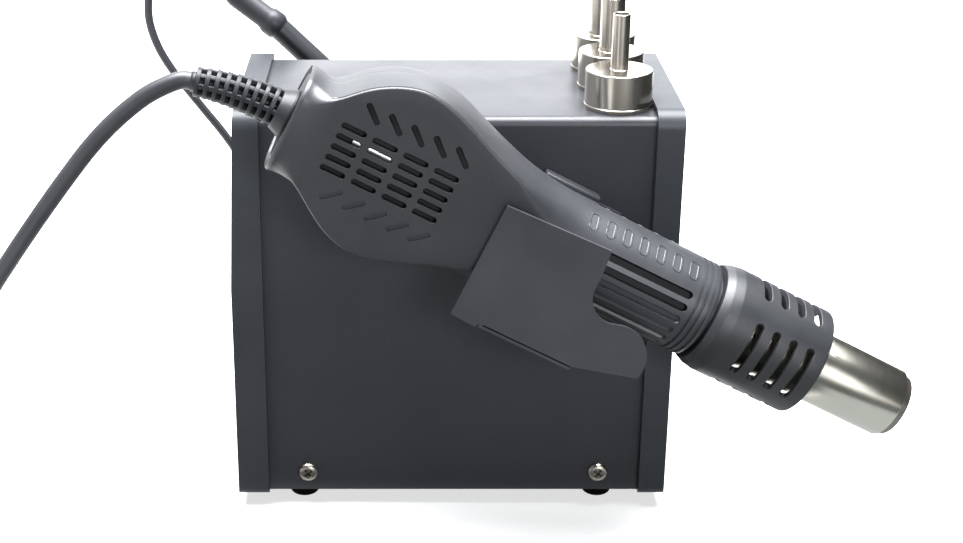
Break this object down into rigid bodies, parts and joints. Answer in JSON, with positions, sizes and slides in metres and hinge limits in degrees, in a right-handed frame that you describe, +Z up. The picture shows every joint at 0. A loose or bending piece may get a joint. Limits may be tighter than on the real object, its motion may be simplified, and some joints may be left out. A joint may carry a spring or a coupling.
{
  "type": "hot air rework station",
  "caption": "Bench station with a sloping blower handle hung in a side holder, a soldering iron in a funnel holder on the far side and spare nozzles standing on top.",
  "frame": {"origin": "on the table under the middle of the four rubber feet, which is the middle of the station's box", "axes": "+X from the front panel to the rear panel, +Y to the soldering iron's side, +Z up"},
  "size_m": [0.4052, 0.1956, 0.1695],
  "materials": {
    "cover_paint": "satin powder coat",
    "bezel_plastic": "fine grained",
    "panel_plastic": "fine grained",
    "window": "clear, dark tinted",
    "board": "lacquered",
    "parts": "moulded",
    "key_plastic": "satin",
    "black_plastic": "satin",
    "rubber": "matte",
    "zinc": "zinc plated",
    "dark_screw": "dark nickel",
    "base_steel": "satin paint",
    "heat_sink": "extruded",
    "laminations": "varnished",
    "copper": "enamelled wire",
    "brass": "turned",
    "nickel": "satin nickel",
    "holder_steel": "satin powder coat",
    "shell_plastic": "satin moulding",
    "cage_plastic": "satin moulding",
    "heat_steel": "heat stained",
    "ceramic": "unglazed ceramic",
    "wheel_plastic": "moulded",
    "relief_rubber": "matte",
    "cord_rubber": "smooth",
    "iron_rubber": "soft grip",
    "tip_copper": "plated copper"
  },
  "bodies": {
    "station": {"base_plate": "base_steel", "top_cover": "cover_paint", "rubber_feet": "rubber", "cover_screws": "dark_screw", "board_standoffs": "brass", "front_bezel": "bezel_plastic", "front_panel": "panel_plastic", "display_window": "window", "display_module": "parts", "front_board": "board", "handle_socket": "zinc", "rear_bezel": "bezel_plastic", "rear_panel": "panel_plastic", "mains_inlet": "black_plastic", "inlet_pins": "brass", "switch_body": "black_plastic", "control_board": "board", "board_parts": "parts", "heat_sink": "heat_sink", "transformer_core": "laminations", "transformer_coil": "copper", "nozzle_posts": "zinc", "handle_holder": "holder_steel", "holder_screws": "dark_screw", "handle_cord": "cord_rubber", "handle_cord_coil": "cord_rubber", "handle_plug": "zinc", "iron_holder": "holder_steel", "iron_funnel": "black_plastic", "iron_guard": "heat_steel", "iron_cord_leads": "cord_rubber", "iron_cord_coil": "cord_rubber", "iron_gland": "black_plastic"},
    "handle": {"shell_near": "shell_plastic", "shell_far": "shell_plastic", "shell_screws": "dark_screw", "nose_cage": "cage_plastic", "heater_tube": "heat_steel", "nozzle_seat": "heat_steel", "heater_core": "ceramic", "heater_coils": "zinc", "fan_motor": "zinc", "strain_relief": "relief_rubber"},
    "wheel": {"fan_wheel": "wheel_plastic"},
    "iron": {"iron_handle": "black_plastic", "iron_grip": "iron_rubber", "iron_nut": "zinc", "iron_barrel": "heat_steel", "iron_tip": "tip_copper", "iron_boot": "relief_rubber", "iron_cord": "cord_rubber"},
    "rocker": {"switch_rocker": "black_plastic"},
    "key_temp_up_body": {"key_temp_up": "key_plastic"},
    "key_temp_down_body": {"key_temp_down": "key_plastic"},
    "key_air_up_body": {"key_air_up": "key_plastic"},
    "key_air_down_body": {"key_air_down": "key_plastic"},
    "key_mode_body": {"key_mode": "key_plastic"},
    "nozzle_small_body": {"nozzle_small": "nickel"},
    "nozzle_medium_body": {"nozzle_medium": "nickel"},
    "nozzle_large_body": {"nozzle_large": "nickel"}
  },
  "joints": [
    {"name": "handle_lift", "type": "slide", "parent": "station", "child": "handle", "axis": [0.4571, 0, 0.8894], "range_m": [0, 0.04]},
    {"name": "wheel_spin", "type": "hinge", "parent": "handle", "child": "wheel", "pos_m": [-0.0188, -0.05935, 0.1313], "axis": [0, 1, 0], "continuous": true},
    {"name": "iron_draw", "type": "slide", "parent": "station", "child": "iron", "axis": [-0.7193, 0, 0.6947], "range_m": [0, 0.07]},
    {"name": "rocker_tilt", "type": "hinge", "parent": "station", "child": "rocker", "pos_m": [0.06795, 0.018, 0.0345], "axis": [0, 1, 0], "range_deg": [0, 22]},
    {"name": "key_temp_up_press", "type": "slide", "parent": "station", "child": "key_temp_up_body", "axis": [1, 0, 0], "range_m": [0, 0.001], "stiffness_N_per_m": 300, "springref_m": -0.001},
    {"name": "key_temp_down_press", "type": "slide", "parent": "station", "child": "key_temp_down_body", "axis": [1, 0, 0], "range_m": [0, 0.001], "stiffness_N_per_m": 300, "springref_m": -0.001},
    {"name": "key_air_up_press", "type": "slide", "parent": "station", "child": "key_air_up_body", "axis": [1, 0, 0], "range_m": [0, 0.001], "stiffness_N_per_m": 300, "springref_m": -0.001},
    {"name": "key_air_down_press", "type": "slide", "parent": "station", "child": "key_air_down_body", "axis": [1, 0, 0], "range_m": [0, 0.001], "stiffness_N_per_m": 300, "springref_m": -0.001},
    {"name": "key_mode_press", "type": "slide", "parent": "station", "child": "key_mode_body", "axis": [1, 0, 0], "range_m": [0, 0.001], "stiffness_N_per_m": 300, "springref_m": -0.001},
    {"name": "nozzle_small_lift", "type": "slide", "parent": "station", "child": "nozzle_small_body", "axis": [0, 0, 1], "range_m": [0, 0.03]},
    {"name": "nozzle_medium_lift", "type": "slide", "parent": "station", "child": "nozzle_medium_body", "axis": [0, 0, 1], "range_m": [0, 0.03]},
    {"name": "nozzle_large_lift", "type": "slide", "parent": "station", "child": "nozzle_large_body", "axis": [0, 0, 1], "range_m": [0, 0.03]}
  ]
}
